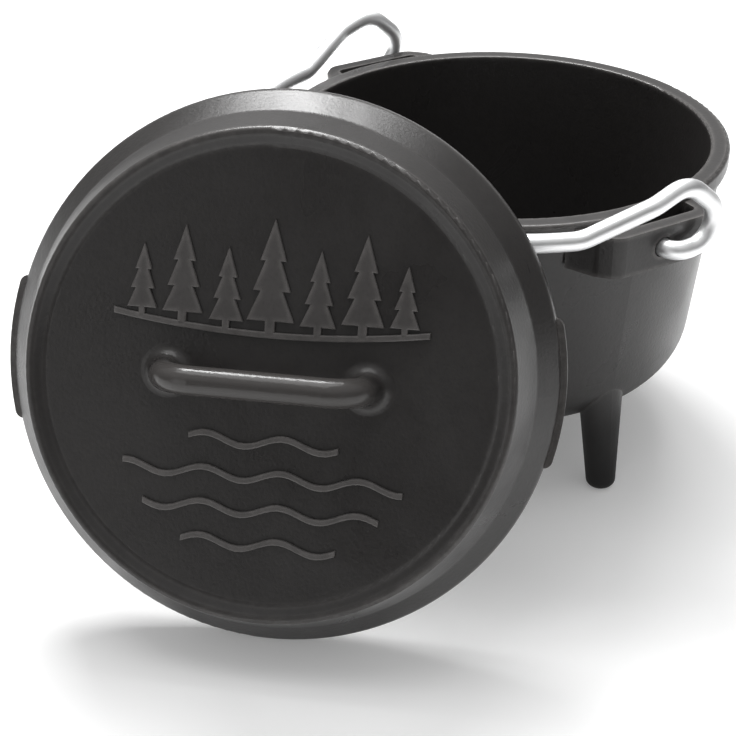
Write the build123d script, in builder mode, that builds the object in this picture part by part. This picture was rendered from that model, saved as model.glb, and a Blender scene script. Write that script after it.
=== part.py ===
# Small camp dutch oven: three-legged pot, flanged dish-top lid taken off and leaned in front of it, wire bail folded down.
# Millimetres. X runs through the two ears, +Z is up, the floor is Z = 0 and the pot's axis is the Z axis.
import os
from math import cos, radians, sin

from build123d import *

os.makedirs("parts", exist_ok=True)

# pot
rim_r = 85.0  # outside of the rim bead
rim_h = 119.0  # rim above the floor
rim_t = 7.0  # rim's width at the mouth
bead_h = 6.0  # straight part of the rim bead
bead_out = 1.6  # bead beyond the wall
wall_draft = 9.2  # how far the wall draws in from the rim to the base
base_z = 26.0  # clear height under the pot
corner_r = 23.5
wall_t = 5.0
wall_top_r = rim_r - bead_out  # outer wall carried up to the rim's height
base_r = wall_top_r - wall_draft  # outer wall carried down to the base
mouth_r = rim_r - rim_t

# legs, one of them under the first ear
leg_n = 3
leg_tip_w = 10.8
leg_root_z = 50.0
leg_root_size = (14.0, 20.0)  # radial, tangential
leg_splay = 5.6  # tip this far outside the root
leg_in = 0.7  # a tip's middle inside the wall's foot
leg_tip_r = base_r - leg_in

# ears that carry the bail wire
ear_out = 9.8  # front face beyond the rim
ear_t = 5.2
ear_h = 15.0
ear_front_w = 37.0
ear_root_w = 57.0
ear_corner = (6.0, 4.5)  # the side's outer end: back from the front face, in from the root's width
ear_round = 6.0
ear_face_x = rim_r + ear_out
slot_x = ear_face_x - ear_t

# bail wire
wire_r = 3.25
hole_gap = 0.4
bend_r = 5.0  # last bend, from the curl into the ear
wire_tail = 3.0  # wire's end behind the ear's front bar
hoop_out = 11.5  # hoop's middle line beyond the rim
pivot_drop = 9.5
hoop_drop = 0.5  # the folded hoop rests level, clear outside the lid's seat
hoop_bends = (14.0, 12.0)  # out of the hoop and up to the curl
curl_gap = 0.2
hoop_r = rim_r + hoop_out
curl_x = ear_face_x + bend_r + curl_gap  # the wire's end curl lies in this plane, outside the ear
pivot_z = rim_h - pivot_drop
hoop_z = rim_h - hoop_drop

# lid, drawn about its own axis with Z = 0 on top of the flange
flange_out = 5.1  # flange beyond the pot's rim
flange_t = 6.0
tab_out = 1.9
tab_w = 48.0
ring_gap = 1.0  # locating ring inside the pot's mouth
ring_h = 4.0
ring_t = 4.6
shoulder_w = 7.1  # from the flange's edge in to the step
step_z = 9.4  # line between the shoulder and the crest's outer slope
step_round = 3.0
crest_in = 5.2
crest_w = 2.0
crest_z = 23.3
disc_in = 5.4
disc_z = 21.3
disc_t = 4.6
handle_half = 33.0
handle_rise = 15.0
handle_bar_r = 4.6
handle_bend_r = 11.0
handle_foot = 4.0  # fillet at the handle's feet
flange_r = rim_r + flange_out
tab_reach = flange_r + tab_out
ring_r = mouth_r - ring_gap
step_r = flange_r - shoulder_w
crest_r = step_r - crest_in
disc_r = crest_r - disc_in

# the lid stands on the floor and leans back, clear outside the folded hoop and turned towards the first ear
lid_yaw = -41.1  # the way its top faces, from +X
lid_tilt = 22.57  # its top faces this far above level
lid_roll = -0.2
lid_back = 34.2  # lid's middle in from the hoop's side, along X
lid_off = 33.35  # and out in front of it, along Y
lid_xy = (hoop_r - lid_back, -hoop_r - lid_off)
edge_round = 1.5


def nearest(shape, x, y):
    return shape.vertices().sort_by_distance((x, y))[0]


wall_slope = (wall_top_r - base_r) / (rim_h - base_z)
bead_low = rim_h - bead_h - 4.0
floor_z = base_z + wall_t
with BuildPart() as pot:
    with BuildSketch(Plane.XZ) as outside:
        with BuildLine():
            Polyline(
                (0, base_z),
                (base_r, base_z),
                (wall_top_r - wall_slope * (rim_h - bead_low), bead_low),
                (rim_r, rim_h - bead_h),
                (rim_r, rim_h),
                (0, rim_h),
                close=True,
            )
        make_face()
        fillet(nearest(outside, base_r, base_z), corner_r)
        fillet(nearest(outside, rim_r, rim_h - bead_h), 4.0)
        fillet(nearest(outside, wall_top_r, bead_low), 4.0)
        fillet(nearest(outside, rim_r, rim_h), edge_round)
    revolve(axis=Axis.Z)

    # tapered posts whose tops run out in the pot's bottom corner
    for i in range(leg_n):
        spoke = Rotation(0, 0, i * 360 / leg_n)
        with BuildSketch(Plane(spoke * Location((leg_tip_r, 0, 0)))):
            Circle(leg_tip_w / 2)
        with BuildSketch(Plane(spoke * Location((leg_tip_r - leg_splay, 0, leg_root_z)))):
            Ellipse(leg_root_size[0] / 2, leg_root_size[1] / 2)
        loft()
    fillet(edges().group_by(Axis.Z)[0], leg_tip_w * 0.28)

    # loops standing off the wall, open above and below, with a hole for the wire through the front bar
    for side in (0, 180):
        spoke = Rotation(0, 0, side)
        with BuildSketch(Plane(spoke * Location((0, 0, pivot_z - ear_h / 2)))) as ear_plan:
            with BuildLine():
                Polyline(
                    (mouth_r, ear_root_w / 2),
                    (ear_face_x - ear_corner[0], ear_root_w / 2 - ear_corner[1]),
                    (ear_face_x, ear_front_w / 2),
                    (ear_face_x, -ear_front_w / 2),
                    (ear_face_x - ear_corner[0], ear_corner[1] - ear_root_w / 2),
                    (mouth_r, -ear_root_w / 2),
                    close=True,
                )
            make_face()
            fillet(ear_plan.vertices().sort_by(Axis.X)[2:], ear_round)
            with Locations(((slot_x + mouth_r - 5) / 2, 0)):
                RectangleRounded(slot_x - mouth_r + 5, ear_front_w, 2.5, mode=Mode.SUBTRACT)
        extrude(amount=ear_h)
        with Locations(spoke * Location((ear_face_x - ear_t / 2, 0, pivot_z), (0, 90, 0))):
            Cylinder(wire_r + hole_gap, ear_t + 2, mode=Mode.SUBTRACT)

    with BuildSketch(Plane.XZ) as cavity:
        with BuildLine():
            Polyline((0, floor_z), (base_r - wall_t, floor_z), (mouth_r, rim_h), (0, rim_h), close=True)
        make_face()
        fillet(nearest(cavity, base_r - wall_t, floor_z), corner_r - wall_t)
    revolve(axis=Axis.Z, mode=Mode.SUBTRACT)
    fillet(edges().filter_by(GeomType.CIRCLE).group_by(Axis.Z)[-1].sort_by(SortBy.RADIUS)[0], 0.8)
pot.part.label = "pot"

# wire bail: half of it from the middle of the hoop to the end inside the first ear, mirrored for the other
leave = 22.0  # where the wire leaves the hoop's circle, degrees short of the ear
leave_at = Vector(hoop_r * cos(radians(leave)), -hoop_r * sin(radians(leave)), hoop_z)
out = Vector(sin(radians(leave)), cos(radians(leave)), 0)
rise_from = leave_at + out * 4
rise_to = rise_from + out * ((curl_x - rise_from.X) / out.X) + Vector(0, 0, 10.5)
curl = [
    (3.5, 24.7, 11.0),  # Y, height above the pivot, bend radius
    (18.5, 11.7, 9.0),
    (12.5, 0.0, 9.0),
]
with BuildPart() as bail:
    with BuildLine() as wire:
        CenterArc((0, 0, hoop_z), hoop_r, -90, 90 - leave)
        FilletPolyline(
            leave_at,
            rise_from,
            rise_to,
            *[(curl_x, y, pivot_z + z) for y, z, _ in curl],
            (curl_x, 0, pivot_z),
            (slot_x - wire_tail, 0, pivot_z),
            radius=[*hoop_bends, *[r for _, _, r in curl], bend_r],
        )
        mirror(about=Plane.YZ)
    with BuildSketch(Plane((slot_x - wire_tail, 0, pivot_z), z_dir=(1, 0, 0))):
        Circle(wire_r)
    sweep(path=wire.wires()[0])
    chamfer(edges().filter_by(GeomType.CIRCLE).filter_by(Plane.YZ), 0.6)
bail.part.label = "bail"

# lid
lid_z = (flange_r - edge_round) * cos(radians(lid_tilt)) + (flange_t - edge_round) * sin(radians(lid_tilt)) + edge_round
facing = Vector(
    cos(radians(lid_yaw)) * cos(radians(lid_tilt)),
    sin(radians(lid_yaw)) * cos(radians(lid_tilt)),
    sin(radians(lid_tilt)),
)
level = Vector(-sin(radians(lid_yaw)), cos(radians(lid_yaw)), 0)
across = level * cos(radians(lid_roll)) + facing.cross(level) * sin(radians(lid_roll))
lean = Plane((*lid_xy, lid_z), x_dir=across, z_dir=facing)
with BuildPart() as lid_upright:
    with BuildSketch(Plane.XZ) as section:
        with BuildLine():
            Polyline(
                (0, disc_z - disc_t),
                (ring_r - ring_t - 1.0, disc_z - disc_t),
                (ring_r - ring_t, -flange_t - ring_h),
                (ring_r - 0.4, -flange_t - ring_h),
                (ring_r, -flange_t),
                (flange_r, -flange_t),
                (flange_r, 0),
                (step_r, step_z),
                (crest_r, crest_z),
                (crest_r - crest_w, crest_z),
                (disc_r, disc_z),
                (0, disc_z),
                close=True,
            )
        make_face()
        fillet(nearest(section, ring_r - ring_t - 1.0, disc_z - disc_t), 5.0)
        fillet(nearest(section, flange_r, -flange_t), edge_round)
        fillet(nearest(section, flange_r, 0), 4.0)
        fillet(nearest(section, step_r, step_z), step_round)
        fillet(nearest(section, crest_r, crest_z), 1.5)
        fillet(nearest(section, crest_r - crest_w, crest_z), 2.2)
        fillet(nearest(section, disc_r, disc_z), 2.5)
        fillet(nearest(section, ring_r - 0.4, -flange_t - ring_h), 0.8)
    revolve(axis=Axis.Z)

    with BuildSketch(Plane.XY.offset(-flange_t)) as tabs:
        Circle(tab_reach)
        Rectangle(2 * tab_reach, tab_w, mode=Mode.INTERSECT)
        fillet(tabs.vertices(), 3.0)
        Circle(flange_r - 8, mode=Mode.SUBTRACT)
    extrude(amount=flange_t - 0.6)

    bar_z = disc_z + handle_rise
    with BuildLine() as arch:
        FilletPolyline(
            (-handle_half, 0, disc_z - disc_t / 2),
            (-handle_half + 3.0, 0, bar_z),
            (handle_half - 3.0, 0, bar_z),
            (handle_half, 0, disc_z - disc_t / 2),
            radius=handle_bend_r,
        )
    with BuildSketch(Plane(arch.line @ 0, z_dir=arch.line % 0)):
        Circle(handle_bar_r)
    sweep(path=arch.line)
    feet = edges().filter_by_position(Axis.Z, disc_z - 0.01, disc_z + 0.01)
    fillet(feet.filter_by_position(Axis.Y, -handle_bar_r - 1, handle_bar_r + 1), handle_foot)
with BuildPart() as lid:
    with Locations(lean.location):
        add(lid_upright.part)
lid.part.label = "lid"

for piece in (pot, bail, lid):
    export_step(piece.part, f"parts/{piece.part.label}.step")
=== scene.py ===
from math import cos, pi, radians, sin

import bmesh
import bpy
from mathutils import Matrix, Vector


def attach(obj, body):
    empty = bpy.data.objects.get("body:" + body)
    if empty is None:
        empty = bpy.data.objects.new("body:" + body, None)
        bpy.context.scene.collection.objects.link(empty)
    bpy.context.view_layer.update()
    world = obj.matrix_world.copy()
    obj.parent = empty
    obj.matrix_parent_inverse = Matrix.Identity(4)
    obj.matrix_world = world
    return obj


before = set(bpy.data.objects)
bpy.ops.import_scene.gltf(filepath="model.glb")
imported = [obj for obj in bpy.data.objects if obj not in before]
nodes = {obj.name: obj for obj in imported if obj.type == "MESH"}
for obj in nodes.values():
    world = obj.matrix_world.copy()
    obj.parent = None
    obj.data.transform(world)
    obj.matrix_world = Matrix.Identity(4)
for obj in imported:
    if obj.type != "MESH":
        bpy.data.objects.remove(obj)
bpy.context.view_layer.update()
scene = bpy.context.scene
print("frame loaded:", ", ".join(sorted(nodes)))

# camera, as the photo was taken
view = {"place": (0.4651, -0.3437, 0.3563), "turn": (59.29, 0.0, 58.5), "lens": 80.09}

camData = bpy.data.cameras.new("camera")
camData.lens = view["lens"]
camData.sensor_width = 36.0
camData.clip_start = 0.02
camData.clip_end = 50.0
camera = bpy.data.objects.new("camera", camData)
camera.location = view["place"]
camera.rotation_euler = [radians(a) for a in view["turn"]]
scene.collection.objects.link(camera)
scene.camera = camera
print("camera placed")


# small helpers for node trees
def link(tree, fromSocket, toSocket):
    tree.links.new(fromSocket, toSocket)


def addNode(tree, kind, **settings):
    node = tree.nodes.new(kind)
    for name, value in settings.items():
        setattr(node, name, value)
    return node


def setInputs(node, **values):
    for name, value in values.items():
        node.inputs[name.replace("_", " ")].default_value = value
    return node


def mathNode(tree, operation, first, second=None, third=None, clamp=False):
    node = addNode(tree, "ShaderNodeMath", operation=operation, use_clamp=clamp)
    for i, value in enumerate((first, second, third)):
        if value is None:
            continue
        if isinstance(value, (int, float)):
            node.inputs[i].default_value = value
        else:
            link(tree, value, node.inputs[i])
    return node.outputs[0]


def newGroup(name, inputs, outputs):
    group = bpy.data.node_groups.new(name, "ShaderNodeTree")
    for socketName, kind, value in inputs:
        socket = group.interface.new_socket(socketName, in_out="INPUT", socket_type=kind)
        if value is not None:
            socket.default_value = value
    for socketName, kind in outputs:
        group.interface.new_socket(socketName, in_out="OUTPUT", socket_type=kind)
    return group, group.nodes.new("NodeGroupInput"), group.nodes.new("NodeGroupOutput")


# sand-cast skin: fine grain with shallow pits, and a slow swell under it
grainLook = {
    "fineDetail": 3.0,
    "fineRough": 0.62,
    "pitScale": 0.9,
    "pitSoft": 0.6,
    "pitLimit": 0.5,
    "pitBlend": 0.3,
    "pitHeight": 0.5,
    "swellDetail": 2.0,
    "swellHeight": 1.6,
}


def makeCastGrain():
    group, given, out = newGroup(
        "castGrain",
        [
            ("Vector", "NodeSocketVector", None),
            ("Grain", "NodeSocketFloat", 800.0),
            ("Swell", "NodeSocketFloat", 45.0),
        ],
        [("Height", "NodeSocketFloat"), ("Pits", "NodeSocketFloat")],
    )
    fine = addNode(group, "ShaderNodeTexNoise")
    setInputs(fine, Detail=grainLook["fineDetail"], Roughness=grainLook["fineRough"])
    link(group, given.outputs["Vector"], fine.inputs["Vector"])
    link(group, given.outputs["Grain"], fine.inputs["Scale"])
    cells = addNode(group, "ShaderNodeTexVoronoi", feature="SMOOTH_F1")
    setInputs(cells, Smoothness=grainLook["pitSoft"])
    link(group, given.outputs["Vector"], cells.inputs["Vector"])
    pitScale = mathNode(group, "MULTIPLY", given.outputs["Grain"], grainLook["pitScale"])
    link(group, pitScale, cells.inputs["Scale"])
    swell = setInputs(addNode(group, "ShaderNodeTexNoise"), Detail=grainLook["swellDetail"])
    link(group, given.outputs["Vector"], swell.inputs["Vector"])
    link(group, given.outputs["Swell"], swell.inputs["Scale"])
    limit, blend = grainLook["pitLimit"], grainLook["pitBlend"]
    pits = mathNode(group, "SMOOTH_MIN", cells.outputs["Distance"], limit, blend)
    height = mathNode(group, "MULTIPLY_ADD", pits, grainLook["pitHeight"], fine.outputs["Fac"])
    height = mathNode(group, "MULTIPLY_ADD", swell.outputs["Fac"], grainLook["swellHeight"], height)
    link(group, height, out.inputs["Height"])
    link(group, pits, out.inputs["Pits"])
    return group


# baked-on oil: patchy sheen, some of it run and wiped
oilLook = {
    "patchDetail": 4.0,
    "patchRough": 0.55,
    "patchRun": 0.6,
    "spread": (0.34, 0.66),
    "mottleDetail": 3.0,
    "mottleRough": 0.7,
    "mottleScale": 9.0,
}


def makeSeasoning():
    group, given, out = newGroup(
        "seasoning",
        [("Vector", "NodeSocketVector", None), ("Patch", "NodeSocketFloat", 28.0)],
        [("Patches", "NodeSocketFloat"), ("Mottle", "NodeSocketFloat")],
    )
    patch = addNode(group, "ShaderNodeTexNoise")
    setInputs(patch, Detail=oilLook["patchDetail"], Roughness=oilLook["patchRough"])
    setInputs(patch, Distortion=oilLook["patchRun"])
    link(group, given.outputs["Vector"], patch.inputs["Vector"])
    link(group, given.outputs["Patch"], patch.inputs["Scale"])
    spread = addNode(group, "ShaderNodeMapRange")
    setInputs(spread, From_Min=oilLook["spread"][0], From_Max=oilLook["spread"][1])
    link(group, patch.outputs["Fac"], spread.inputs["Value"])
    mottle = addNode(group, "ShaderNodeTexNoise")
    setInputs(mottle, Detail=oilLook["mottleDetail"], Roughness=oilLook["mottleRough"])
    link(group, given.outputs["Vector"], mottle.inputs["Vector"])
    mottleScale = mathNode(group, "MULTIPLY", given.outputs["Patch"], oilLook["mottleScale"])
    link(group, mottleScale, mottle.inputs["Scale"])
    link(group, spread.outputs["Result"], out.inputs["Patches"])
    link(group, mottle.outputs["Fac"], out.inputs["Mottle"])
    return group


# bright on edges: wear where handling rubs the skin smooth, and painted highlight where edges catch the
# light
edgeWearAndHighlightLook = {"samples": 4, "gain": 16.0}


def makeEdgeRub():
    group, given, out = newGroup(
        "edgeWearAndHighlight",
        [("Width", "NodeSocketFloat", 0.0026), ("Break_up", "NodeSocketFloat", 0.5)],
        [("Mask", "NodeSocketFloat")],
    )
    soft = addNode(group, "ShaderNodeBevel", samples=edgeWearAndHighlightLook["samples"])
    link(group, given.outputs["Width"], soft.inputs["Radius"])
    plain = addNode(group, "ShaderNodeNewGeometry")
    dot = addNode(group, "ShaderNodeVectorMath", operation="DOT_PRODUCT")
    link(group, soft.outputs["Normal"], dot.inputs[0])
    link(group, plain.outputs["Normal"], dot.inputs[1])
    bend = mathNode(group, "SUBTRACT", 1.0, dot.outputs["Value"])
    bend = mathNode(group, "MULTIPLY", bend, edgeWearAndHighlightLook["gain"], clamp=True)
    worn = mathNode(group, "MULTIPLY", bend, given.outputs["Break_up"], clamp=True)
    link(group, worn, out.inputs["Mask"])
    return group


castGrain, seasoning, edgeWearAndHighlight = makeCastGrain(), makeSeasoning(), makeEdgeRub()


def placeGroup(tree, group, **values):
    node = addNode(tree, "ShaderNodeGroup", node_tree=group)
    for name, value in values.items():
        if isinstance(value, (int, float)):
            node.inputs[name].default_value = value
        else:
            link(tree, value, node.inputs[name])
    return node


# seasoned cast iron
ironLook = {
    "dark": (0.017, 0.0158, 0.0154, 1.0),
    "light": (0.034, 0.0315, 0.0305, 1.0),
    # edge colour: wear, and painted highlight where edges catch the light
    "wornAndHighlit": (0.175, 0.165, 0.160, 1.0),
    "roughLow": 0.26,
    "roughHigh": 0.38,
    "ior": 1.46,
    "grain": 800.0,
    "mottleTone": 0.7,
    "pitTone": 0.5,
    "rubRough": -0.10,
    "bump": 0.12,
    "bumpDepth": 0.0006,
}

# a zone is the part of a casting past some distance along an axis: here the foot of the pot, painted darker
# as painted shade under the pot
footShadeZone = {
    "axis": (0.0, 0.0, 1.0),
    "fade": (0.052, 0.022),
    "amount": 0.9,
    "colour": (0.006, 0.0055, 0.0053, 1.0),
    "rough": 0.36,
}


def makeIron(name, look, zone):
    material = bpy.data.materials.new(name)
    material.use_nodes = True
    tree = material.node_tree
    shader = tree.nodes["Principled BSDF"]
    setInputs(shader, Metallic=0.0, IOR=look["ior"])
    place = addNode(tree, "ShaderNodeTexCoord").outputs["Object"]
    grain = placeGroup(tree, castGrain, Vector=place, Grain=look["grain"])
    oil = placeGroup(tree, seasoning, Vector=place)
    wearAndHighlight = placeGroup(tree, edgeWearAndHighlight, Break_up=oil.outputs["Mottle"])

    tone = addNode(tree, "ShaderNodeMix", data_type="RGBA")
    tone.inputs["A"].default_value = look["dark"]
    tone.inputs["B"].default_value = look["light"]
    shade = mathNode(tree, "MULTIPLY", oil.outputs["Mottle"], look["mottleTone"])
    shade = mathNode(tree, "MULTIPLY_ADD", grain.outputs["Pits"], look["pitTone"], shade, clamp=True)
    link(tree, shade, tone.inputs["Factor"])
    # edges mixed toward that colour: wear, and painted highlight on the edges
    wornAndHighlit = addNode(tree, "ShaderNodeMix", data_type="RGBA")
    link(tree, tone.outputs["Result"], wornAndHighlit.inputs["A"])
    wornAndHighlit.inputs["B"].default_value = look["wornAndHighlit"]
    link(tree, wearAndHighlight.outputs["Mask"], wornAndHighlit.inputs["Factor"])
    # zone: a colour mixed in past a distance along an axis; painted shade on the pot's foot, painted
    # highlight on the lid's handle
    along = addNode(tree, "ShaderNodeVectorMath", operation="DOT_PRODUCT")
    link(tree, place, along.inputs[0])
    along.inputs[1].default_value = zone["axis"]
    mask = addNode(tree, "ShaderNodeMapRange", interpolation_type="SMOOTHSTEP")
    setInputs(mask, From_Min=zone["fade"][0], From_Max=zone["fade"][1], To_Max=zone["amount"])
    link(tree, along.outputs["Value"], mask.inputs["Value"])
    zoned = addNode(tree, "ShaderNodeMix", data_type="RGBA")
    link(tree, mask.outputs["Result"], zoned.inputs["Factor"])
    link(tree, wornAndHighlit.outputs["Result"], zoned.inputs["A"])
    zoned.inputs["B"].default_value = zone["colour"]
    link(tree, zoned.outputs["Result"], shader.inputs["Base Color"])

    rough = addNode(tree, "ShaderNodeMapRange")
    setInputs(rough, To_Min=look["roughLow"], To_Max=look["roughHigh"])
    link(tree, oil.outputs["Patches"], rough.inputs["Value"])
    worn = mathNode(tree, "MULTIPLY_ADD", wearAndHighlight.outputs["Mask"], look["rubRough"], rough.outputs["Result"])
    worn = mathNode(tree, "MULTIPLY_ADD", mask.outputs["Result"], zone["rough"], worn)
    link(tree, worn, shader.inputs["Roughness"])

    bump = addNode(tree, "ShaderNodeBump")
    setInputs(bump, Strength=look["bump"], Distance=look["bumpDepth"])
    link(tree, grain.outputs["Height"], bump.inputs["Height"])
    link(tree, bump.outputs["Normal"], shader.inputs["Normal"])
    return material


# plated wire, with light drawing marks
wireLook = {
    "colour": (0.97, 0.975, 0.98, 1.0),
    "tarnish": (0.90, 0.905, 0.91, 1.0),
    "tarnished": 0.35,
    "patch": 60.0,
    "roughLow": 0.36,
    "roughHigh": 0.46,
    "bump": 0.05,
    "bumpDepth": 0.0003,
}


def makePlating(name, look):
    material = bpy.data.materials.new(name)
    material.use_nodes = True
    tree = material.node_tree
    shader = tree.nodes["Principled BSDF"]
    setInputs(shader, Metallic=1.0)
    place = addNode(tree, "ShaderNodeTexCoord").outputs["Object"]
    oil = placeGroup(tree, seasoning, Vector=place, Patch=look["patch"])
    tone = addNode(tree, "ShaderNodeMix", data_type="RGBA")
    tone.inputs["A"].default_value = look["colour"]
    tone.inputs["B"].default_value = look["tarnish"]
    link(tree, mathNode(tree, "MULTIPLY", oil.outputs["Mottle"], look["tarnished"]), tone.inputs["Factor"])
    link(tree, tone.outputs["Result"], shader.inputs["Base Color"])
    rough = addNode(tree, "ShaderNodeMapRange")
    setInputs(rough, To_Min=look["roughLow"], To_Max=look["roughHigh"])
    link(tree, oil.outputs["Patches"], rough.inputs["Value"])
    link(tree, rough.outputs["Result"], shader.inputs["Roughness"])
    bump = addNode(tree, "ShaderNodeBump")
    setInputs(bump, Strength=look["bump"], Distance=look["bumpDepth"])
    link(tree, oil.outputs["Mottle"], bump.inputs["Height"])
    link(tree, bump.outputs["Normal"], shader.inputs["Normal"])
    return material


def dress(obj, material):
    obj.data.materials.clear()
    obj.data.materials.append(material)


# lid's own axes: X along the handle, Y up its face, Z out of the disc
lid = {
    "yaw": -41.1,
    "tilt": 22.57,
    "roll": -0.2,
    "centre": (0.0623, -0.12985),
    "flange": 0.0901,
    "flangeT": 0.006,
    "edge": 0.0015,
    "discZ": 0.0213,
}


def lidFrame():
    yaw, tilt = radians(lid["yaw"]), radians(lid["tilt"])
    out = Vector((cos(yaw) * cos(tilt), sin(yaw) * cos(tilt), sin(tilt)))
    level = Vector((-sin(yaw), cos(yaw), 0.0))
    level = Matrix.Rotation(radians(lid["roll"]), 3, out) @ level
    up = out.cross(level)
    # the rounded lower edge of the flange stands on the floor
    across = lid["flange"] - lid["edge"]
    deep = lid["flangeT"] - lid["edge"]
    height = across * cos(tilt) + deep * sin(tilt) + lid["edge"]
    turn = Matrix((level, up, out)).transposed().to_4x4()
    return Matrix.Translation((*lid["centre"], height)) @ turn


lidPlace = lidFrame()

# the handle's bar, worn smooth by hands, and painted lighter as a painted highlight
discTop = lidPlace @ Vector((0.0, 0.0, lid["discZ"]))
lidAxis = lidPlace.to_3x3().col[2]
gripStart = lidAxis.dot(discTop)
gripWearAndHighlight = {
    "axis": lidAxis,
    "fade": (gripStart + 0.006, gripStart + 0.012),
    "amount": 1.0,
    # painted highlight: lighter colour on the bar
    "colour": (0.060, 0.056, 0.054, 1.0),
    "rough": -0.13,
}

# raised pieces, painted a little brighter than the ground round them as a painted highlight
litReliefLook = dict(
    ironLook,
    dark=(0.045, 0.042, 0.041, 1.0),
    light=(0.080, 0.075, 0.073, 1.0),
    roughLow=0.30,
    roughHigh=0.42,
)

dress(nodes["pot"], makeIron("castIron", ironLook, footShadeZone))
dress(nodes["lid"], makeIron("castIronLid", ironLook, gripWearAndHighlight))
dress(nodes["bail"], makePlating("platedWire", wireLook))
print("materials made")

# cast relief: pines along a shore above the handle, ripples below it, in millimetres on the disc
# halfPine goes up a tree's right side in shares of its height
# pines are (x, height), ripples are (y, half length)
relief = {
    "rise": 1.1,
    "sink": 0.4,
    "round": 0.4,
    "line": 2.0,
    "halfPine": [
        (0.045, 0.0),
        (0.045, 0.12),
        (0.21, 0.12),
        (0.10, 0.38),
        (0.165, 0.38),
        (0.07, 0.64),
        (0.115, 0.64),
    ],
    "pines": [(-41, 23), (-28, 31), (-14, 26), (0, 36), (15, 27), (29, 32), (42, 22)],
    "shore": {"low": 14.0, "lift": 4.0, "half": 50.0, "steps": 40},
    "ripples": [(-20, 24), (-31, 45), (-42, 38), (-53, 25)],
    "swell": 1.7,
    "swellLength": 25.0,
}


def shoreAt(x):
    return relief["shore"]["low"] + relief["shore"]["lift"] * (x / relief["shore"]["half"]) ** 2


def pineOutline(x, height):
    foot = shoreAt(x)
    right = [(x + w * height, foot + h * height) for w, h in relief["halfPine"]]
    left = [(x - w * height, foot + h * height) for w, h in reversed(relief["halfPine"])]
    return right + [(x, foot + height)] + left


def lineAlong(curve, half, steps):
    across = relief["line"] / 2
    xs = [half * (2 * i / steps - 1) for i in range(steps + 1)]
    top = [(x, curve(x) + across) for x in xs]
    return top + [(x, y - 2 * across) for x, y in reversed(top)]


def ripple(level, half):
    return lineAlong(lambda x: level + relief["swell"] * sin(2 * pi * x / relief["swellLength"]), half, half)


def addRaised(bm, outline):
    low = lid["discZ"] - relief["sink"] / 1000
    face = bm.faces.new([bm.verts.new((x / 1000, y / 1000, low)) for x, y in outline])
    grown = bmesh.ops.extrude_face_region(bm, geom=[face])["geom"]
    top = [v for v in grown if isinstance(v, bmesh.types.BMVert)]
    bmesh.ops.translate(bm, verts=top, vec=(0, 0, (relief["rise"] + relief["sink"]) / 1000))
    lip = [e for e in grown if isinstance(e, bmesh.types.BMEdge)]
    bmesh.ops.bevel(
        bm, geom=lip, offset=relief["round"] / 1000, offset_type="OFFSET", segments=2, profile=0.5,
        affect="EDGES", clamp_overlap=True, material=-1,
    )


def makeRelief():
    bm = bmesh.new()
    for x, height in relief["pines"]:
        addRaised(bm, pineOutline(x, height))
    addRaised(bm, lineAlong(shoreAt, relief["shore"]["half"], relief["shore"]["steps"]))
    for level, half in relief["ripples"]:
        addRaised(bm, ripple(level, half))
    bmesh.ops.recalc_face_normals(bm, faces=bm.faces)
    bmesh.ops.transform(bm, matrix=lidPlace, verts=bm.verts)
    mesh = bpy.data.meshes.new("lidRelief")
    bm.to_mesh(mesh)
    bm.free()
    piece = bpy.data.objects.new("lidRelief", mesh)
    scene.collection.objects.link(piece)
    dress(piece, makeIron("castIronRelief", litReliefLook, gripWearAndHighlight))
    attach(piece, "lid")
    return piece


lidRelief = makeRelief()
print("relief made:", len(lidRelief.data.polygons), "faces")

# pale floor the oven stands on
stageLook = {"size": 6.0, "floor": (0.84, 0.84, 0.84, 1.0), "lift": 0.20, "rough": 0.9, "gloss": 0.1}

floorMesh = bpy.data.meshes.new("floor")
bm = bmesh.new()
bmesh.ops.create_grid(bm, x_segments=1, y_segments=1, size=stageLook["size"])
bm.to_mesh(floorMesh)
bm.free()
floor = bpy.data.objects.new("floor", floorMesh)
scene.collection.objects.link(floor)


def makeFloor():
    material = bpy.data.materials.new("paleFloor")
    material.use_nodes = True
    tree = material.node_tree
    shader = tree.nodes["Principled BSDF"]
    setInputs(shader, Base_Color=stageLook["floor"], Roughness=stageLook["rough"])
    shader.inputs["Specular IOR Level"].default_value = stageLook["gloss"]
    ray = addNode(tree, "ShaderNodeLightPath")
    seen = mathNode(tree, "MAXIMUM", ray.outputs["Is Camera Ray"], ray.outputs["Is Glossy Ray"])
    seen = mathNode(tree, "MAXIMUM", seen, ray.outputs["Is Transmission Ray"])
    shader.inputs["Emission Color"].default_value = (1.0, 1.0, 1.0, 1.0)
    link(tree, mathNode(tree, "MULTIPLY", seen, stageLook["lift"]), shader.inputs["Emission Strength"])
    return material


dress(floor, makeFloor())

# cloth round the set: lit above and behind the oven and beside the camera, dark where the camera stands
tent = {
    "cloth": 0.16,
    "seen": 1.0,
    "ceiling": {"towards": (0.0, 0.0, 1.0), "fade": (0.25, 0.80), "change": 0.42},
    "glow": {"towards": (-0.83, 0.52, 0.18), "fade": (0.60, 0.97), "change": 0.38},
    "gap": {"towards": (0.634, -0.743, 0.243), "fade": (0.80, 0.97), "change": -0.10},
    "wing": {"towards": (0.253, -0.955, 0.156), "fade": (0.930, 0.985), "change": 0.85},
}

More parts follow.
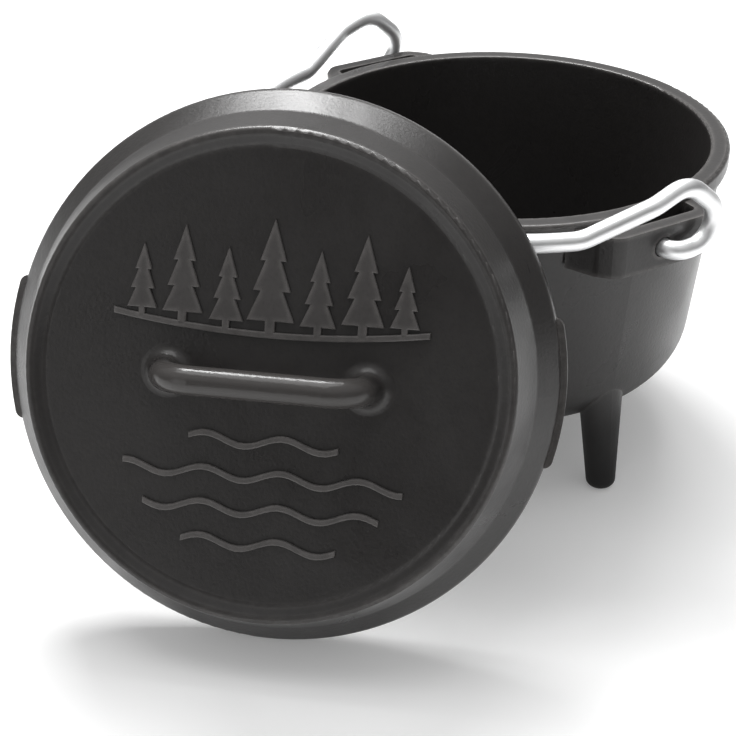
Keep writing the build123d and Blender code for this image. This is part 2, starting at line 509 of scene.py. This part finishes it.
world = bpy.data.worlds.new("studio")
world.use_nodes = True
scene.world = world
tree = world.node_tree
sky = tree.nodes["Background"]
outward = addNode(tree, "ShaderNodeTexCoord").outputs["Generated"]
cloth = None
for part in (tent["ceiling"], tent["glow"], tent["gap"], tent["wing"]):
    towards = addNode(tree, "ShaderNodeVectorMath", operation="DOT_PRODUCT")
    link(tree, outward, towards.inputs[0])
    towards.inputs[1].default_value = part["towards"]
    fade = addNode(tree, "ShaderNodeMapRange", interpolation_type="SMOOTHSTEP")
    setInputs(fade, From_Min=part["fade"][0], From_Max=part["fade"][1], To_Max=part["change"])
    link(tree, towards.outputs["Value"], fade.inputs["Value"])
    cloth = mathNode(tree, "ADD", fade.outputs["Result"], tent["cloth"] if cloth is None else cloth)
ray = addNode(tree, "ShaderNodeLightPath")
seen = mathNode(tree, "MAXIMUM", ray.outputs["Is Camera Ray"], ray.outputs["Is Transmission Ray"])
amount = addNode(tree, "ShaderNodeMix", data_type="FLOAT")
link(tree, seen, amount.inputs["Factor"])
link(tree, cloth, amount.inputs["A"])
amount.inputs["B"].default_value = tent["seen"]
link(tree, amount.outputs["Result"], sky.inputs["Strength"])
sky.inputs["Color"].default_value = (1.0, 1.0, 1.0, 1.0)

# softboxes: "from" is degrees round from +X and up from the floor, "size" across and along
lampAim = Vector((0.0, -0.05, 0.08))
lamps = [
    {"name": "overhead", "from": (195.0, 80.0), "reach": 1.2, "size": (0.95, 0.95), "power": 7.0},
    {"name": "backKey", "from": (166.0, 59.0), "reach": 1.2, "size": (0.50, 0.46), "power": 12.5},
    {"name": "rightStrip", "from": (125.0, 57.0), "reach": 1.2, "size": (0.28, 0.36), "power": 3.0},
]


def addLamp(spec):
    around, lift = (radians(a) for a in spec["from"])
    place = lampAim + Vector((cos(around) * cos(lift), sin(around) * cos(lift), sin(lift))) * spec["reach"]
    data = bpy.data.lights.new(spec["name"], "AREA")
    data.shape = "RECTANGLE"
    data.size, data.size_y = spec["size"]
    data.energy = spec["power"]
    lamp = bpy.data.objects.new(spec["name"], data)
    lamp.location = place
    lamp.rotation_euler = (lampAim - place).to_track_quat("-Z", "Y").to_euler()
    scene.collection.objects.link(lamp)


for spec in lamps:
    addLamp(spec)
scene.view_settings.view_transform = "Standard"
print("floor and lamps placed")
